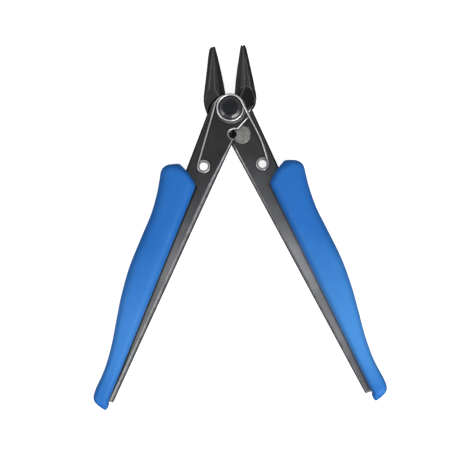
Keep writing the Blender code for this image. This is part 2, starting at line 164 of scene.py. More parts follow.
def turned(name, profile, place, steps=112):
    """A profile of (radius, height) points turned about a vertical axis, closed by itself or at the axis."""
    shell = bmesh.new()
    rings = []
    for point in profile:
        if point[0] < 1e-7:
            rings.append([shell.verts.new((place.x, place.y, point[1]))])
            continue
        ring = []
        for i in range(steps):
            angle = 2 * pi * i / steps
            spot = (place.x + point[0] * cos(angle), place.y + point[0] * sin(angle), point[1])
            ring.append(shell.verts.new(spot))
        rings.append(ring)
    pairs = list(zip(rings, rings[1:]))
    if len(rings[0]) > 1:
        pairs.append((rings[-1], rings[0]))
    for one, two in pairs:
        for i in range(steps):
            j = (i + 1) % steps
            corners = [one[i % len(one)], one[j % len(one)], two[j % len(two)], two[i % len(two)]]
            corners = list(dict.fromkeys(corners))
            if len(corners) > 2:
                shell.faces.new(corners)
    bmesh.ops.recalc_face_normals(shell, faces=shell.faces)
    mesh = bpy.data.meshes.new(name)
    shell.to_mesh(mesh)
    shell.free()
    smooth_all(mesh)
    return link(bpy.data.objects.new(name, mesh))


def keep_flats(obj):
    """Normals weighted by face area, so that large faces stay flat beside their rounded edges."""
    weighted = obj.modifiers.new("Flat faces", "WEIGHTED_NORMAL")
    weighted.mode = "FACE_AREA_WITH_ANGLE"
    weighted.weight = 60
    weighted.keep_sharp = True


# ---------------------------------------------------------------- materials
class Shader:
    """A material's node tree with a Principled BSDF, and short calls that add nodes to it."""

    def __init__(self, name, color, roughness, metallic, **settings):
        self.material = bpy.data.materials.new(name)
        self.material.use_nodes = True
        self.material.diffuse_color = (*color, 1.0)
        self.tree = self.material.node_tree
        self.bsdf = self.tree.nodes["Principled BSDF"]
        self.set("Base Color", (*color, 1.0))
        self.set("Roughness", roughness)
        self.set("Metallic", metallic)
        for key, value in settings.items():
            self.set(key.replace("_", " "), value)
        self.place = self.add("ShaderNodeTexCoord").outputs["Object"]

    def set(self, socket, value):
        self.plug(self.bsdf.inputs[socket], value)

    def plug(self, socket, value):
        if isinstance(value, bpy.types.NodeSocket):
            self.tree.links.new(value, socket)
        else:
            socket.default_value = value

    def add(self, kind, inputs=None, **settings):
        made = self.tree.nodes.new(kind)
        for key, value in settings.items():
            setattr(made, key, value)
        for key, value in (inputs or {}).items():
            self.plug(made.inputs[key], value)
        return made

    def math(self, operation, one, two=0.5, clamp=False):
        made = self.add("ShaderNodeMath", {0: one, 1: two}, operation=operation, use_clamp=clamp)
        return made.outputs[0]

    def vector_math(self, operation, one, two=(0.0, 0.0, 0.0)):
        return self.add("ShaderNodeVectorMath", {0: one, 1: two}, operation=operation).outputs

    def noise(self, size, detail=2.0, roughness=0.5, vector=None, stretch=None):
        """Noise with features of about this size in metres. Stretch lengthens them along X, Y and Z."""
        vector = vector or self.place
        if stretch:
            scale = tuple(1 / value for value in stretch)
            vector = self.add("ShaderNodeMapping", {"Vector": vector, "Scale": scale}).outputs["Vector"]
        values = {"Vector": vector, "Scale": 1 / size, "Detail": detail, "Roughness": roughness}
        return self.add("ShaderNodeTexNoise", values).outputs["Fac"]

    def ramp(self, value, low, high, to_low=0.0, to_high=1.0):
        values = {"Value": value, "From Min": low, "From Max": high, "To Min": to_low, "To Max": to_high}
        return self.add("ShaderNodeMapRange", values, clamp=True).outputs["Result"]

    def mix(self, share, one, two):
        made = self.add("ShaderNodeMix", data_type="RGBA")
        for name, value in (("Factor_Float", share), ("A_Color", one), ("B_Color", two)):
            socket = next(s for s in made.inputs if s.identifier == name)
            self.plug(socket, (*value, 1.0) if isinstance(value, tuple) and len(value) == 3 else value)
        return next(s for s in made.outputs if s.identifier == "Result_Color")

    def tone_ramp(self, value, stops):
        made = self.add("ShaderNodeValToRGB", {"Fac": value})
        elements = made.color_ramp.elements
        while len(elements) < len(stops):
            elements.new(0.5)
        for element, (share, grey) in zip(elements, stops):
            element.position = share
            element.color = (grey, grey, grey * 1.02, 1.0)
        return made.outputs["Color"]

    def axes(self, vector=None):
        """Outputs X, Y and Z of a vector, which is the place on the object unless another is given."""
        return self.add("ShaderNodeSeparateXYZ", {"Vector": vector or self.place}).outputs

    def distance(self, centre):
        return self.vector_math("DISTANCE", self.place, centre)["Value"]

    def radius(self, centre):
        """Distance from a vertical axis through the centre."""
        shifted = self.vector_math("SUBTRACT", self.place, (centre.x, centre.y, 0.0))
        flat = self.vector_math("MULTIPLY", shifted[0], (1.0, 1.0, 0.0))
        return self.vector_math("LENGTH", flat[0])["Value"]

    def bump(self, height, distance, strength=1.0, under=None):
        values = {"Height": height, "Distance": distance, "Strength": strength}
        if under:
            values["Normal"] = under
        made = self.add("ShaderNodeBump", values).outputs["Normal"]
        self.set("Normal", made)
        return made


def painted_grip_shadow(shader, place):
    """1 on the open steel, falling to a painted shadow in the thin line beside each grip, deeper on the left
    arm.
    """
    over = shader.math("SUBTRACT", shader.math("ABSOLUTE", place["X"]), GRIP_TOP.x)
    up = shader.math("SUBTRACT", place["Y"], GRIP_TOP.y)
    out, down = (
        shader.math("ADD", shader.math("MULTIPLY", over, way.x), shader.math("MULTIPLY", up, way.y))
        for way in (GRIP_SIDE, GRIP_AXIS))
    (upper_s, upper_w), (lower_s, lower_w) = GRIP_INNER[7:9]
    taper = (lower_w - upper_w) / (lower_s - upper_s)
    edge = shader.math("ADD", shader.math("MULTIPLY", down, taper), upper_w * MM)
    gap = shader.math("SUBTRACT", edge, out)
    shade = shader.ramp(place["X"], -5 * MM, 5 * MM, 0.22, 0.55)
    fade = shader.ramp(gap, 0.2 * MM, 0.65 * MM)
    beside = shader.math("MAXIMUM", shade, fade)
    return shader.math("MAXIMUM", beside, shader.ramp(down, 0.5 * MM, 1.5 * MM, 1.0, 0.0))


def black_steel(name, wear, depth=1.0, edge_tint=0.25):
    """Blackened steel: a thin satin oxide, cloudy and grained, rubbed by wear, with a painted reflection down
    the arms, painted shade at the jaw root, round the recess and beside the grips, and a painted highlight at
    the jaw's step. Depth scales the grey.
    """
    tint = (edge_tint, edge_tint, edge_tint, 1.0)
    shader = Shader(name, (0.05, 0.051, 0.054), 0.36, 1.0, Specular_Tint=tint)
    cloud = shader.noise(9 * MM, 3.0)
    grain = shader.noise(0.32 * MM, 3.0, 0.6)
    brushed = shader.noise(0.16 * MM, 2.0, 0.55, stretch=(1.0, 9.0, 1.0))
    place = shader.axes()
    # Painted reflection: the grey lightens part way down the arms, more on the right arm than on the left.
    down = shader.ramp(place["Y"], TONES_FROM, TONES_TO)
    oxide_and_sheen = [shader.tone_ramp(down, stops) for stops in (LEFT_OXIDE_AND_SHEEN, RIGHT_OXIDE_AND_SHEEN)]
    right = shader.ramp(place["X"], -3 * MM, 3 * MM)
    tone = shader.mix(right, *oxide_and_sheen)
    # Painted shade on the slope at the jaw's root, and a painted highlight along the edge where that slope
    # meets the jaw's face.
    wave = shader.math("MULTIPLY", shader.noise(1.3 * MM, 2.0), 1.4 * MM)
    rooted = shader.math("ADD", shader.distance(JAW_ROOT), wave)
    painted_shade = shader.ramp(rooted, 4.15 * MM, 4.4 * MM, 0.42, 1.0)
    risen = shader.ramp(rooted, 4.1 * MM, 4.3 * MM)
    ridge_highlight = shader.math("MULTIPLY", risen, shader.ramp(rooted, 4.6 * MM, 4.4 * MM))
    # Painted shade in and round the recess beside the stud.
    recess_shade = shader.ramp(shader.distance(RECESS_FLOOR), 1.5 * MM, 1.75 * MM, 0.3, 1.0)
    painted_shade = shader.math("MULTIPLY", painted_shade, recess_shade)
    # Painted shadow in the thin line where each grip meets the steel.
    painted_shade = shader.math("MULTIPLY", painted_shade, painted_grip_shadow(shader, place))
    level = shader.math("MULTIPLY", painted_shade, shader.ramp(cloud, 0.3, 0.7, 0.85 * depth, 1.15 * depth))
    scaled = shader.add("ShaderNodeVectorMath", {0: tone, "Scale": level}, operation="SCALE")
    oxide = scaled.outputs[0]
    speck = shader.ramp(shader.noise(0.5 * MM, 4.0, 0.7), 0.62, 0.75)
    oxide = shader.mix(shader.math("MULTIPLY", speck, 0.25), oxide, (0.13, 0.125, 0.12))
    rubbed = shader.math("ADD", shader.noise(2.2 * MM, 4.0, 0.65), wear - 0.5)
    rubbed = shader.ramp(rubbed, 0.44, 0.70)
    oxide = shader.mix(shader.math("MULTIPLY", ridge_highlight, 0.55), oxide, (0.17, 0.17, 0.173))
    shader.set("Base Color", shader.mix(rubbed, oxide, (0.20, 0.20, 0.205)))
    shader.set("Roughness", shader.ramp(shader.math("ADD", cloud, grain), 0.7, 1.3, 0.30, 0.42))
    fine = shader.bump(grain, 0.010 * MM, 0.5)
    shader.bump(brushed, 0.006 * MM, 0.45, fine)
    return shader.material


def worn_edge_with_painted_light(name):
    """The halves' rounded edges, where the oxide is polished thin and steel shines through in patches, with a
    painted highlight round the head and painted shade on the arms' outer rims.
    """
    shader = Shader(name, (0.12, 0.12, 0.122), 0.24, 1.0, Specular_Tint=(0.4, 0.4, 0.4, 1.0))
    cloud = shader.noise(2.6 * MM, 4.0, 0.62)
    grain = shader.noise(0.3 * MM, 3.0, 0.6)
    place = shader.axes()
    # Painted highlight: the rounded edges round the head get a lighter steel than those down the arms and on
    # the jaws.
    head = shader.ramp(place["Y"], -26 * MM, -12 * MM)
    jaw = shader.ramp(place["Y"], 1 * MM, 4 * MM)
    plain = shader.mix(shader.ramp(cloud, 0.35, 0.68), (0.115, 0.115, 0.117), (0.205, 0.205, 0.207))
    head_highlight = shader.mix(shader.ramp(cloud, 0.33, 0.62), (0.22, 0.22, 0.222), (0.38, 0.38, 0.38))
    tone = shader.mix(jaw, shader.mix(head, plain, head_highlight), plain)
    # Painted shade: the rounded edges along the arms' outer rims go nearly black, except on the jaws.
    line = shader.math("MULTIPLY", place["Y"], OUTER_SLOPE)
    line = shader.math("ADD", line, OUTER_START)
    inside = shader.math("SUBTRACT", line, shader.math("ABSOLUTE", place["X"]))
    inside = shader.math("MAXIMUM", shader.ramp(inside, 0.7 * MM, 1.2 * MM), jaw)
    shader.set("Base Color", shader.mix(inside, (0.030, 0.030, 0.032), tone))
    gloss = shader.ramp(shader.math("ADD", cloud, grain), 0.7, 1.3, 0.25, 0.36)
    duller = shader.ramp(place["Y"], -14 * MM, -30 * MM, 0.0, 0.20)
    shader.set("Roughness", shader.math("ADD", gloss, duller))
    shader.bump(grain, 0.008 * MM, 0.4)
    return shader.material


def turned_steel(name, color, light, centre, roughness, pitch, depth, slope=None, floor=None):
    """Steel faced on a lathe: faint rings about the axis, uneven in depth, with a cloudy tone.

    Slope is (radius, colour) for the part outside that radius, and below the floor's height a painted shade
    makes it nearly black, as in a recess.
    """
    shader = Shader(name, color, roughness, 1.0)
    radius = shader.radius(centre)
    wobble = shader.math("MULTIPLY", shader.noise(1.6 * MM, 2.0), 0.10 * MM)
    rings = shader.math("SINE", shader.math("MULTIPLY", shader.math("ADD", radius, wobble), 2 * pi / pitch))
    grain = shader.noise(0.22 * MM, 3.0, 0.6)
    cloud = shader.noise(1.8 * MM, 3.0, 0.6)
    tone = shader.math("ADD", shader.ramp(cloud, 0.35, 0.68), shader.math("MULTIPLY", rings, 0.22))
    face = shader.mix(shader.ramp(tone, 0.0, 1.0), color, light)
    if slope:
        start, sloped = slope
        patches = shader.math("MULTIPLY", shader.noise(0.9 * MM, 3.0), 0.5 * MM)
        patchy = shader.math("ADD", radius, patches)
        face = shader.mix(shader.ramp(patchy, start, start + 0.5 * MM), face, sloped)
    # Painted shade: below the floor's height the colour goes nearly black, as shade in a recess.
    if floor:
        clear_of_recess_shade = shader.ramp(shader.axes()["Z"], floor, floor + 0.5 * MM)
        face = shader.mix(clear_of_recess_shade, (0.012, 0.012, 0.013), face)
    shader.set("Base Color", face)
    shader.set("Roughness", shader.ramp(grain, 0.3, 0.7, roughness - 0.06, roughness + 0.08))
    marks = shader.math("MULTIPLY", rings, shader.ramp(cloud, 0.3, 0.6, 0.25, 1.0))
    first = shader.bump(marks, depth, 0.6)
    shader.bump(grain, 0.008 * MM, 0.35, first)
    return shader.material


def drawn_wire(name):
    """Spring wire: long shallow die marks, with painted light on the upper side and painted shade down the
    flanks, both lighter on the coil than on the legs.
    """
    shader = Shader(name, (0.45, 0.45, 0.46), 0.2, 1.0, Specular_Tint=(0.25, 0.25, 0.25, 1.0))
    uv = shader.add("ShaderNodeUVMap", uv_map="along").outputs["UV"]
    drawn = shader.add("ShaderNodeMapping", {"Vector": uv, "Scale": (60.0, 22.0, 1.0)}).outputs["Vector"]
    lines = shader.noise(1.0, 3.0, 0.6, vector=drawn)
    cloud = shader.noise(2.4 * MM, 3.0, 0.6)
    # Painted light and shade: the wire's base is lighter where it faces up and darker down its flanks, and
    # lighter on the coil than on the legs.
    normal = shader.axes(shader.add("ShaderNodeNewGeometry").outputs["Normal"])
    facing = shader.math("ADD", normal["Z"], shader.math("MULTIPLY", cloud, 0.2))
    upper = shader.ramp(facing, 0.62, 1.02)
    coil = shader.ramp(shader.radius(PIVOT), 5.6 * MM, 8.0 * MM, 1.0, 0.0)
    top = shader.mix(shader.ramp(cloud, 0.4, 0.7), (0.46, 0.465, 0.47), (0.36, 0.36, 0.365))
    top = shader.mix(coil, top, (0.60, 0.60, 0.605))
    shaded_flank = shader.mix(coil, (0.10, 0.10, 0.103), (0.22, 0.22, 0.225))
    shader.set("Base Color", shader.mix(upper, shaded_flank, top))
    shader.set("Roughness", shader.ramp(shader.math("ADD", lines, cloud), 0.7, 1.3, 0.22, 0.34))
    shader.bump(lines, 0.004 * MM, 0.4)
    return shader.material


def grip_plastic(name):
    """Moulded blue plastic: a fine satin texture and slight flow clouding, with a painted sheen in a lighter
    band down each grip, lighter on the right grip.
    """
    shader = Shader(name, (0.015, 0.14, 0.43), 0.5, 0.0, Specular_IOR_Level=0.18)
    cloud = shader.noise(14 * MM, 3.0)
    grain = shader.noise(0.28 * MM, 2.0, 0.55)
    coarse = shader.noise(0.9 * MM, 3.0, 0.6)
    place = shader.axes()
    down = shader.math("ADD", place["Y"], shader.ramp(cloud, 0.3, 0.7, -6 * MM, 6 * MM))
    # Painted sheen: the blue is lighter in a band towards the lower end of each grip, and more so on the
    # right grip.
    sheen_rise = shader.ramp(down, -42 * MM, -72 * MM)
    painted_sheen_band = shader.math("MULTIPLY", sheen_rise, shader.ramp(down, -104 * MM, -80 * MM))
    side = shader.ramp(place["X"], -20 * MM, 20 * MM)
    pale = shader.mix(side, (0.035, 0.182, 0.515), (0.046, 0.212, 0.545))
    tone = shader.mix(painted_sheen_band, (0.0130, 0.124, 0.420), pale)
    rubbed = shader.ramp(shader.noise(5 * MM, 4.0, 0.65), 0.58, 0.74, 0.0, 0.35)
    shader.set("Base Color", shader.mix(rubbed, tone, (0.038, 0.196, 0.52)))
    shader.set("Roughness", shader.ramp(shader.math("ADD", grain, cloud), 0.7, 1.3, 0.44, 0.60))
    fine = shader.bump(grain, 0.022 * MM, 0.55)
    shader.bump(coarse, 0.020 * MM, 0.35, fine)
    return shader.material


PIVOT = Vector((0.0, 0.0, 0.0))
JAW_ROOT = (5.4 * MM, 3.2 * MM, FRONT_TOP)
RECESS_FLOOR = (NOTCH.x, NOTCH.y, REAR_TOP - RECESS_DEPTH)

# Heights at which the front half's long edge is cut, so that its rim can widen from one to the next.
RIM_CUTS = [-13 * MM, -15 * MM, -17 * MM, -21.5 * MM, -24 * MM, -26.5 * MM]

# The ends of each arm's straight inner edge in millimetres, for the front half and the rear half.
INNER_EDGES = {True: ((1.05, -10.3), (-42.7, -97.4)), False: ((-1.05, -10.3), (42.05, -97.4))}

# The arms' outer edges: how far out they lie at the pivot, and how that grows with Y.
OUTER_START = 7.32 * MM
OUTER_SLOPE = -0.404

# The oxide's grey with a painted reflection that lightens it part way down the arms, more on the right arm,
# as (share of the way from TONES_FROM to TONES_TO in Y, grey).
TONES_FROM = 25 * MM
TONES_TO = -100 * MM
LEFT_OXIDE_AND_SHEEN = [
    (0.00, 0.056),
    (0.155, 0.056),
    (0.23, 0.044),
    (0.32, 0.046),
    (0.40, 0.064),
    (0.50, 0.116),
    (0.59, 0.200),
    (0.70, 0.198),
    (0.81, 0.188),
    (0.94, 0.090),
]
RIGHT_OXIDE_AND_SHEEN = [
    (0.00, 0.056),
    (0.155, 0.054),
    (0.23, 0.044),
    (0.32, 0.056),
    (0.40, 0.092),
    (0.50, 0.158),
    (0.59, 0.280),
    (0.70, 0.305),
    (0.81, 0.290),
    (0.94, 0.155),
]
BLACK = black_steel("black_oxide", 0.18)
BLACK_WEAR_AND_PAINTED_LIGHT = worn_edge_with_painted_light("black_oxide_edge")
# Copies of the oxide for the jaws' steep ground facets: painted shade on those facing right, painted light on
# those facing left.
GROUND_SHADED_FACING_RIGHT = black_steel("black_oxide_ground_shaded", 0.12, 0.95, 0.8)
GROUND_LIT_FACING_LEFT = black_steel("black_oxide_ground_lit", 0.12, 1.3, 1.0)
RIVET = turned_steel(
    "blackened_rivet", (0.022, 0.023, 0.025), (0.036, 0.037, 0.039), PIVOT, 0.26, 0.26 * MM, 0.006 * MM,
    slope=(2.75 * MM, (0.065, 0.065, 0.067)))
WASHER = turned_steel(
    "washer_steel", (0.12, 0.12, 0.123), (0.22, 0.22, 0.222), middle("spring_washer"), 0.30, 0.20 * MM,
    0.005 * MM)
# The stud is painted nearly black more than 0.9 mm below its face, as shade in the recess beside it.
STUD = turned_steel(
    "stud_steel", (0.20, 0.198, 0.188), (0.34, 0.338, 0.322), STUD_PLACE, 0.36, 0.62 * MM, 0.022 * MM,
    floor=REAR_TOP - 0.9 * MM)
WIRE = drawn_wire("spring_wire_steel")
PLASTIC = grip_plastic("blue_moulded_plastic")


# ---------------------------------------------------------------- steel halves
def off_inner_edge(point, front):
    """Distance in millimetres from the straight inner edge of a half's arm."""
    start, end = INNER_EDGES[front]
    along = (Vector(end) - Vector(start)).normalized()
    return abs((point.xy - Vector(start)).cross(along))


def rim_width(edge, front):
    """Radius in millimetres for an edge of a half, by what the edge is."""
    one, two = (vert.co / MM for vert in edge.verts)
    spot = (one + two) / 2
    jaw = 1 if front else -1
    level = abs(one.z - two.z) < 0.02
    top = (FRONT_TOP if front else REAR_TOP) / MM
    bottom = (FRONT_BACK if front else JAW_BACK) / MM
    eyelet = middle("front_eyelet" if front else "rear_eyelet") / MM
    stud = STUD_PLACE / MM
    recess = NOTCH / MM
    if (spot.xy - eyelet.xy).length < 2.0 or spot.xy.length < 2.8:
        return 0.05
    if not front and ((spot.xy - stud.xy).length < 3.5 or (spot.xy - recess.xy).length < 1.6):
        return 0.04
    if front and level and abs(one.z - top) < 0.05 and spot.x > 1.5 and spot.y < -2:
        return 0.75
    if spot.y > 2.5 and spot.x * jaw > 0.5:
        return 0.13 if spot.y < 20 and abs(spot.x) > 2.6 else 0.04
    if level and abs(one.z - top) < 0.05:
        if all(off_inner_edge(point, front) < 0.15 for point in (one, two)):
            grown = min(1.0, max(0.0, (-11.5 - spot.y) / 15))
            return 0.6 + 0.9 * grown if front else 0.9
        return 0.6
    if level and abs(one.z - bottom) < 0.05:
        return 0.35
    if not level:
        return 0.25
    return 0.10


def facing_shade_index(face):
    """The material of a flat face: the steep ground facets of the jaws take copies of the oxide, painted
    darker where they face right and lighter where they face left.
    """
    centre = face.calc_center_median()
    steep = centre.y > 4 * MM and 0.05 < face.normal.z < 0.93
    if steep and face.normal.x > 0.30:
        return 2
    return 3 if steep and face.normal.x < -0.30 else 0


def split_at_holes(shell, front):
    """Cuts across each hole, marked as seams, so that no flat face is left with a hole inside it."""
    eyelet = middle("front_eyelet" if front else "rear_eyelet")
    levels = [0.0, NOTCH.y, *RIM_CUTS, eyelet.y] if front else [0.0, STUD_PLACE.y, eyelet.y]
    for level in levels:
        everything = [*shell.verts, *shell.edges, *shell.faces]
        cut = bmesh.ops.bisect_plane(
            shell, geom=everything, dist=0.001 * MM, plane_co=(0.0, level, 0.0), plane_no=(0.0, 1.0, 0.0))
        for made in cut["geom_cut"]:
            if isinstance(made, bmesh.types.BMEdge):
                made.seam = True


def close_notch_end(shell):
    """Merges the short last edge of the notch into its corner, so that the wide rims there have room."""
    corner = Vector(INNER_EDGES[True][0]) * MM
    targets = {}
    for vert in shell.verts:
        reach = (vert.co.xy - corner).length
        if reach < 0.02 * MM:
            targets[vert.co.z > (FRONT_TOP + FRONT_BACK) / 2] = vert
    merges = {}
    for vert in shell.verts:
        reach = (vert.co.xy - corner).length
        upper = vert.co.z > (FRONT_TOP + FRONT_BACK) / 2
        if 0.02 * MM < reach < 0.6 * MM and vert.co.z > FRONT_BACK - 0.1 * MM:
            merges[vert] = targets[upper]
    bmesh.ops.weld_verts(shell, targetmap=merges)


def level_faces(mesh, front):
    """Puts the corners of each large level face exactly in its plane, where rims of unlike width meet."""
    planes = (FRONT_TOP, FRONT_BACK) if front else (REAR_TOP, JAW_BACK)
    for face in mesh.polygons:
        if face.material_index == 0 and abs(face.normal.z) > 0.995:
            for index in face.vertices:
                spot = mesh.vertices[index].co
                for plane in planes:
                    if abs(spot.z - plane) < 0.12 * MM:
                        spot.z = plane


def steel_half(name, cad, body, front):
    mesh = nodes[cad].data.copy()
    mesh.name = name
    shell = bmesh.new()
    shell.from_mesh(mesh)
    bmesh.ops.remove_doubles(shell, verts=shell.verts, dist=0.002 * MM)
    split_at_holes(shell, front)
    bmesh.ops.dissolve_limit(
        shell, angle_limit=radians(0.7), verts=shell.verts, edges=shell.edges, delimit={"SEAM"})
    if front:
        close_notch_end(shell)
    weight = shell.edges.layers.float.new("bevel_weight_edge")
    for edge in shell.edges:
        if edge.is_manifold and edge.calc_face_angle(0.0) > radians(18):
            edge[weight] = rim_width(edge, front)
    shell.normal_update()
    for face in shell.faces:
        face.smooth = True
        face.material_index = facing_shade_index(face)
    for edge in shell.edges:
        edge.smooth = True
    mesh.materials.clear()
    for material in (BLACK, BLACK_WEAR_AND_PAINTED_LIGHT, GROUND_SHADED_FACING_RIGHT, GROUND_LIT_FACING_LEFT):
        mesh.materials.append(material)
    shell.to_mesh(mesh)
    shell.free()
    half = link(bpy.data.objects.new(name, mesh))
    bevel = half.modifiers.new("Rounded edges", "BEVEL")
    bevel.limit_method = "WEIGHT"
    bevel.offset_type = "OFFSET"
    bevel.width = 1.0 * MM
    bevel.segments = 4
    bevel.profile = 0.4
    bevel.use_clamp_overlap = False
    bevel.loop_slide = False
    bevel.material = 1
    bpy.context.view_layer.update()
    drawn = half.evaluated_get(bpy.context.evaluated_depsgraph_get())
    rounded_mesh = bpy.data.meshes.new_from_object(drawn)
    half.modifiers.remove(bevel)
    half.data = rounded_mesh
    level_faces(rounded_mesh, front)
    keep_flats(half)
    return finish_piece(half, body, "black_steel", cad)


steel_half("front_steel_half", "front_half", "front_lever", True)
steel_half("rear_steel_half", "rear_half", "rear_lever", False)


# ---------------------------------------------------------------- pivot, washer, stud and eyelets
def make_rivet():
    low, high = RIVET_BOX
    head_radius = 3.8 * MM
    shank_radius = 2.4 * MM
    tail_height = low.z + 1.0 * MM
    head_back = WASHER_BOX[1].z + 0.2 * MM
    points = [
        (0.0, high.z - 0.06 * MM),
        (2.35 * MM, high.z),
        (2.75 * MM, high.z - 0.10 * MM),
        (head_radius, high.z - 0.62 * MM),
        (head_radius, head_back),
        (shank_radius, head_back),
        (shank_radius, tail_height),
        (high.x, tail_height),
        (high.x, low.z),
        (0.0, low.z),
    ]
    radii = (0.15, 0.25, 0.2, 0.2, 0.1, 0.1, 0.25, 0.35)
    corners = {i: radius * MM for i, radius in enumerate(radii, 1)}
    rivet = turned("pivot_rivet_turned", fillet(points, corners), PIVOT)
    for vert in rivet.data.vertices:
        reach = vert.co.xy.length
        if vert.co.z > head_back + 0.05 * MM and reach > 2.2 * MM:
            dent = noise.noise(vert.co / (1.3 * MM)) * min(1.0, (reach - 2.2 * MM) / (0.8 * MM))
            vert.co.z -= 0.11 * MM * abs(dent)
            vert.co.xy *= 1 - 0.018 * abs(dent)
    rivet.data.materials.append(RIVET)
    keep_flats(rivet)
    return finish_piece(rivet, "rear_lever", "rivet_steel", "pivot_rivet")


def make_washer():
    low, high = WASHER_BOX
    outer = (high.x - low.x) / 2
    bore = 3.0 * MM
    points = [(outer, high.z), (outer, low.z), (bore, low.z), (bore, high.z)]
    profile = fillet(points, dict.fromkeys(range(4), 0.12 * MM))
    washer = turned("spring_washer_turned", profile, middle("spring_washer"))
    washer.data.materials.append(WASHER)
    keep_flats(washer)
    return finish_piece(washer, "rear_lever", "rivet_steel", "spring_washer")


def cut_recess(obj):
    """Takes the blind recess beside the stud out of a piece."""
    shell = bmesh.new()
    height = 4 * MM
    place = (NOTCH.x, NOTCH.y, REAR_TOP - RECESS_DEPTH + height / 2)
    bmesh.ops.create_cone(
        shell, cap_ends=True, segments=96, radius1=RECESS_RADIUS, radius2=RECESS_RADIUS + 0.02 * MM,
        depth=height, matrix=Matrix.Translation(place))
    mesh = bpy.data.meshes.new("recess_cutter")
    shell.to_mesh(mesh)
    shell.free()
    cutter = link(bpy.data.objects.new("recess_cutter", mesh))
    cut = obj.modifiers.new("Recess", "BOOLEAN")
    cut.operation = "DIFFERENCE"
    cut.solver = "EXACT"
    cut.object = cutter
    bpy.context.view_layer.update()
    drawn = obj.evaluated_get(bpy.context.evaluated_depsgraph_get())
    result = bpy.data.meshes.new_from_object(drawn)
    obj.modifiers.remove(cut)
    obj.data = result
    bpy.data.objects.remove(cutter, do_unlink=True)
    result.set_sharp_from_angle(angle=radians(50))


def make_stud():
    low, high = STUD_BOX
    radius = high.x - STUD_PLACE.x
    tail = 1.5 * MM
    step = high.z - 1.2 * MM
    points = [(0.0, high.z), (radius, high.z), (radius, step), (tail, step), (tail, low.z), (0.0, low.z)]
    corners = {1: 0.34 * MM, 2: 0.08 * MM, 3: 0.05 * MM, 4: 0.15 * MM}
    stud = turned("stud_turned", fillet(points, corners), STUD_PLACE)
    stud.data.materials.append(STUD)
    cut_recess(stud)
    return finish_piece(stud, "rear_lever", "bare_steel", "stud")


def make_eyelet(name, cad, body):
    low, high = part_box(cad)
    flange = (high.x - low.x) / 2
    bore = 1.36 * MM
    barrel = 1.5 * MM
    sheet = 0.22 * MM
    points = [
        (bore, high.z),
        (flange, high.z),
        (flange, high.z - sheet),
        (barrel, high.z - sheet),
        (barrel, low.z + sheet),
        (flange, low.z + sheet),
        (flange, low.z),
        (bore, low.z),
    ]
    radii = (0.24, 0.1, 0.08, 0.05, 0.05, 0.08, 0.1, 0.2)
    corners = {i: radius * MM for i, radius in enumerate(radii)}
    centre = middle(cad)
    eyelet = turned(name, fillet(points, corners), centre, 72)
    eyelet.data.materials.append(turned_steel(
        name + "_steel", (0.20, 0.20, 0.20), (0.32, 0.32, 0.315), centre, 0.26, 0.12 * MM, 0.003 * MM))
    return finish_piece(eyelet, body, "bare_steel", cad)


make_rivet()
make_washer()
make_stud()
make_eyelet("front_eyelet_rolled", "front_eyelet", "front_lever")
make_eyelet("rear_eyelet_rolled", "rear_eyelet", "rear_lever")


# ---------------------------------------------------------------- return spring
WIRE_RADIUS = 0.4 * MM
COIL_RADIUS = 4.38 * MM
COIL_FIRST_RADIUS = 5.15 * MM
COIL_PITCH = 0.95 * MM
COIL_TIGHT_SHARE = 0.13
COIL_BACK = WASHER_BOX[1].z + 0.2 * MM + WIRE_RADIUS
EYE_RADIUS = 1.97 * MM
EYE_SWEEP = 320.0
EYE_LIFT = 0.6 * MM
RIGHT_EYE = middle("rear_eyelet").xy
LEFT_EYE = middle("front_eyelet").xy
RIGHT_LEG_BOW = 1.4 * MM
LEG_STEPS = 30
EYE_STEPS = 64
COIL_STEPS = 150
PATH_SMOOTHING = 10


def leg_normal(eye, coil_radius, side):
    """Unit vector from the pivot to where the leg touches the coil, on the leg's outer side."""
    along = eye.normalized()
    outward = Vector((along.y, -along.x)) * -side
    lean = (coil_radius - EYE_RADIUS) / eye.length
    return along * lean + outward * sqrt(1 - lean * lean)


def leg_points(eye, coil_radius, coil_height, eye_height, side, bow):
    """From the coil down to the eye, bowed outwards, then most of the way round the eye."""
    normal = leg_normal(eye, coil_radius, side)
    start = (normal * coil_radius).to_3d() + Vector((0, 0, coil_height))
    end = (eye + normal * EYE_RADIUS).to_3d() + Vector((0, 0, eye_height))
    run = []
    for i in range(LEG_STEPS):
        share = i / (LEG_STEPS - 1)
        drop = share * share * (3 - 2 * share)
        place = start.lerp(end, share)
        place.z = coil_height + (eye_height - coil_height) * drop
        run.append(place + normal.to_3d() * bow * share * sin(pi * share))
    for i in range(1, EYE_STEPS + 1):
        turn = Matrix.Rotation(-side * radians(EYE_SWEEP) * i / EYE_STEPS, 2)
        run.append((eye + turn @ normal * EYE_RADIUS).to_3d() + Vector((0, 0, eye_height)))
    return run


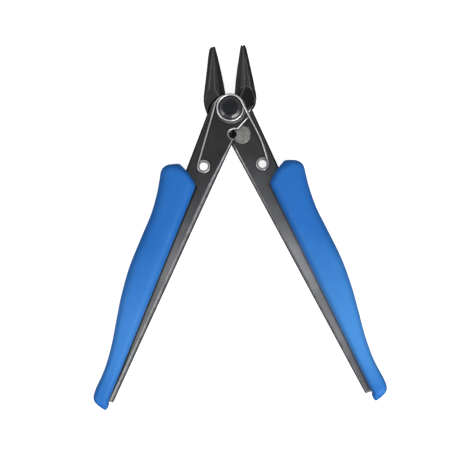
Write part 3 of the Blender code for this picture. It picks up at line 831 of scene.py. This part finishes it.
def spring_path():
    left = leg_normal(LEFT_EYE, COIL_FIRST_RADIUS, -1)
    right = leg_normal(RIGHT_EYE, COIL_RADIUS, 1)
    sweep = left.angle(right) + 2 * pi
    coil = []
    for i in range(1, COIL_STEPS):
        share = i / COIL_STEPS
        tight = min(1.0, share / COIL_TIGHT_SHARE)
        tight = tight * tight * (3 - 2 * tight)
        radius = COIL_FIRST_RADIUS + (COIL_RADIUS - COIL_FIRST_RADIUS) * tight
        place = Matrix.Rotation(-sweep * share, 2) @ left * radius
        coil.append(place.to_3d() + Vector((0, 0, COIL_BACK + COIL_PITCH * sweep * share / (2 * pi))))
    top = COIL_BACK + COIL_PITCH * sweep / (2 * pi)
    left_leg = leg_points(LEFT_EYE, COIL_FIRST_RADIUS, COIL_BACK, FRONT_TOP + EYE_LIFT, -1, 0.0)
    right_leg = leg_points(RIGHT_EYE, COIL_RADIUS, top, REAR_TOP + EYE_LIFT, 1, RIGHT_LEG_BOW)
    path = [*reversed(left_leg), *coil, *right_leg]
    for _ in range(PATH_SMOOTHING):
        inner = [(a + 2 * b + c) / 4 for a, b, c in zip(path, path[1:], path[2:])]
        path = [path[0], *inner, path[-1]]
    return path


def tube(name, path, radius, sides=20):
    """A round wire along a path, with softened ends and a map of the distance along it and the way round."""
    shell = bmesh.new()
    layer = shell.loops.layers.uv.new("along")
    normal = Vector((0, 0, 1))
    rings = []
    lengths = [0.0]
    for one, two in zip(path, path[1:]):
        lengths.append(lengths[-1] + (two - one).length)
    last = len(path) - 1
    stations = [(0, -0.12, 0.45), (0, -0.08, 0.8), (0, 0.0, 0.97)] + [(i, 0.0, 1.0) for i in range(1, last)]
    stations += [(last, 0.0, 0.97), (last, 0.08, 0.8), (last, 0.12, 0.45)]
    for i, push, size in stations:
        along = (path[min(i + 1, last)] - path[max(i - 1, 0)]).normalized()
        normal = (normal - along * normal.dot(along)).normalized()
        across = along.cross(normal)
        centre = path[i] + along * push * MM
        ring = []
        for j in range(sides):
            angle = 2 * pi * j / sides
            outward = normal * cos(angle) + across * sin(angle)
            ring.append(shell.verts.new(centre + outward * radius * size))
        rings.append((ring, lengths[i] / MM))
    for (one, start), (two, end) in zip(rings, rings[1:]):
        for j in range(sides):
            k = (j + 1) % sides
            face = shell.faces.new((one[j], one[k], two[k], two[j]))
            places = ((start, j), (start, j + 1), (end, j + 1), (end, j))
            for loop, (length, turn) in zip(face.loops, places):
                loop[layer].uv = (length / 60.0, turn / sides)
    for ring in (rings[0][0], rings[-1][0]):
        shell.faces.new(ring)
    bmesh.ops.recalc_face_normals(shell, faces=shell.faces)
    mesh = bpy.data.meshes.new(name)
    shell.to_mesh(mesh)
    shell.free()
    smooth_all(mesh)
    return link(bpy.data.objects.new(name, mesh))


spring = tube("return_spring_wire", spring_path(), WIRE_RADIUS)
spring.data.materials.append(WIRE)
finish_piece(spring, None, "spring_wire", "return_spring")
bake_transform(spring)


# ---------------------------------------------------------------- grips
def through(points, x):
    """Height at x of a smooth curve through the points, which run in order of x."""
    last = len(points) - 2
    i = min(last, max(0, sum(1 for point in points if point[0] <= x) - 1))
    (x0, y0), (x1, y1) = points[i], points[i + 1]
    before = points[i - 1] if i > 0 else points[i]
    after = points[i + 2] if i < last else points[i + 1]
    span = x1 - x0
    slope0 = (y1 - before[1]) / (x1 - before[0]) * span
    slope1 = (after[1] - y0) / (after[0] - x0) * span
    t = min(1.0, max(0.0, (x - x0) / span))
    rise = y0 * (2 * t**3 - 3 * t**2 + 1) + y1 * (3 * t**2 - 2 * t**3)
    return rise + slope0 * (t**3 - 2 * t**2 + t) + slope1 * (t**3 - t**2)


def straight(points, x):
    for (x0, y0), (x1, y1) in zip(points, points[1:]):
        if x <= x1:
            return y0 + (y1 - y0) * (x - x0) / (x1 - x0)
    return points[-1][1]


def rounded(points, x, reach=0.45):
    """A polyline's height at x, averaged over a short reach so that its corners are soft."""
    steps = 5
    low, high = points[0][0], points[-1][0]
    reach = min(reach, x - low, high - x)
    values = [straight(points, x + reach * (2 * i / (steps - 1) - 1)) for i in range(steps)]
    return sum(values) / steps


def power(value):
    """Superellipse coordinate of a sine or cosine."""
    size = abs(value) ** (2 / GRIP_POWER)
    return size if value >= 0 else -size


def grip_section(s, side):
    low = rounded(GRIP_INNER, s)
    high = through(GRIP_OUTER, s)
    half_width = max(0.2, (high - low) / 2) * MM
    centre = (low + high) / 2 * MM
    room = min(s - GRIP_START, GRIP_END - s) / GRIP_END_ROUNDING
    fill = (1 - (1 - min(1.0, room + 0.008)) ** 2.4) ** (1 / 2.4)
    ring = []
    for i in range(GRIP_SIDES):
        angle = 2 * pi * i / GRIP_SIDES
        w = centre + half_width * power(cos(angle))
        z = GRIP_HALF * fill * power(sin(angle))
        place = GRIP_TOP + GRIP_AXIS * s * MM + GRIP_SIDE * w
        ring.append((side * place.x, place.y, MATING_PLANE + z))
    return ring


def make_grip(name, cad, body, side):
    shell = bmesh.new()
    rings = []
    for i in range(GRIP_STATIONS + 1):
        share = (1 - cos(pi * i / GRIP_STATIONS)) / 2
        s = GRIP_START + (GRIP_END - GRIP_START) * (0.7 * share + 0.3 * i / GRIP_STATIONS)
        rings.append([shell.verts.new(point) for point in grip_section(s, side)])
    for ring, after in zip(rings, rings[1:]):
        for j in range(GRIP_SIDES):
            k = (j + 1) % GRIP_SIDES
            shell.faces.new((ring[j], ring[k], after[k], after[j]))
    shell.faces.new(rings[0])
    shell.faces.new(rings[-1])
    bmesh.ops.recalc_face_normals(shell, faces=shell.faces)
    mesh = bpy.data.meshes.new(name)
    shell.to_mesh(mesh)
    shell.free()
    smooth_all(mesh)
    grip = link(bpy.data.objects.new(name, mesh))
    grip.data.materials.append(PLASTIC)
    return finish_piece(grip, body, "grip_plastic", cad)


make_grip("left_grip_moulded", "left_grip", "front_lever", -1)
make_grip("right_grip_moulded", "right_grip", "rear_lever", 1)


# ---------------------------------------------------------------- stage, light and camera
FLOOR_RADIUS = 6.0
TARGET = (0.0, -45 * MM, 0.0)
VIEW_CENTRE = Vector((0.74, -43.35)) * MM
VIEW_WIDTH = 159.3 * MM
VIEW_TURN = radians(-2.0)
VIEW_DISTANCE = 0.9


def make_floor():
    shell = bmesh.new()
    bmesh.ops.create_circle(shell, cap_ends=True, segments=96, radius=FLOOR_RADIUS)
    for vert in shell.verts:
        vert.co.z = FLOOR
    mesh = bpy.data.meshes.new("studio_floor")
    shell.to_mesh(mesh)
    shell.free()
    floor = link(bpy.data.objects.new("studio_floor", mesh))
    shader = Shader("pale_floor", (0.5, 0.5, 0.5), 0.75, 0.0, Specular_IOR_Level=0.2)
    cloud = shader.ramp(shader.noise(0.35, 2.0), 0.3, 0.7)
    shader.set("Base Color", shader.mix(cloud, (0.49, 0.49, 0.49), (0.52, 0.52, 0.52)))
    shader.set("Emission Color", (1.0, 1.0, 1.0, 1.0))
    shader.set("Emission Strength", 0.82)
    floor.data.materials.append(shader.material)
    floor.visible_glossy = False
    floor.visible_diffuse = False


def area_light(name, place, target, size, power_watts, color=(1.0, 1.0, 1.0)):
    data = bpy.data.lights.new(name, "AREA")
    data.shape = "RECTANGLE"
    data.size, data.size_y = size
    data.energy = power_watts
    data.color = color
    lamp = link(bpy.data.objects.new(name, data))
    lamp.location = place
    lamp.rotation_euler = (Vector(target) - Vector(place)).to_track_quat("-Z", "Y").to_euler()


def make_camera():
    """Straight above the tool, turned a little, and far enough to show almost no perspective."""
    data = bpy.data.cameras.new("camera")
    data.sensor_width = 36.0
    data.lens = data.sensor_width * VIEW_DISTANCE / VIEW_WIDTH
    data.clip_start = 0.01
    camera = link(bpy.data.objects.new("camera", data))
    camera.location = (VIEW_CENTRE.x, VIEW_CENTRE.y, MATING_PLANE + VIEW_DISTANCE)
    camera.rotation_euler = (0.0, 0.0, VIEW_TURN)
    scene.camera = camera


def make_world():
    """A pale sky that darkens towards and below the horizon."""
    world = scene.world or bpy.data.worlds.new("studio")
    scene.world = world
    world.use_nodes = True
    sky = world.node_tree.nodes
    background = sky["Background"]
    background.inputs["Strength"].default_value = 0.75
    direction = sky.new("ShaderNodeTexCoord")
    axes = sky.new("ShaderNodeSeparateXYZ")
    height = sky.new("ShaderNodeValToRGB")
    low, high = height.color_ramp.elements
    low.position = 0.02
    low.color = (0.30, 0.30, 0.31, 1.0)
    high.position = 0.40
    high.color = (0.96, 0.98, 1.0, 1.0)
    links = world.node_tree.links
    links.new(direction.outputs["Generated"], axes.inputs["Vector"])
    links.new(axes.outputs["Z"], height.inputs["Fac"])
    links.new(height.outputs["Color"], background.inputs["Color"])


make_floor()
area_light("key", (0.22, -0.36, 0.30), TARGET, (0.36, 0.16), 1.9)
area_light("left_fill", (-0.34, -0.22, 0.30), TARGET, (0.22, 0.14), 0.45)
make_camera()
make_world()
scene.view_settings.view_transform = "Standard"
scene.view_settings.look = "None"
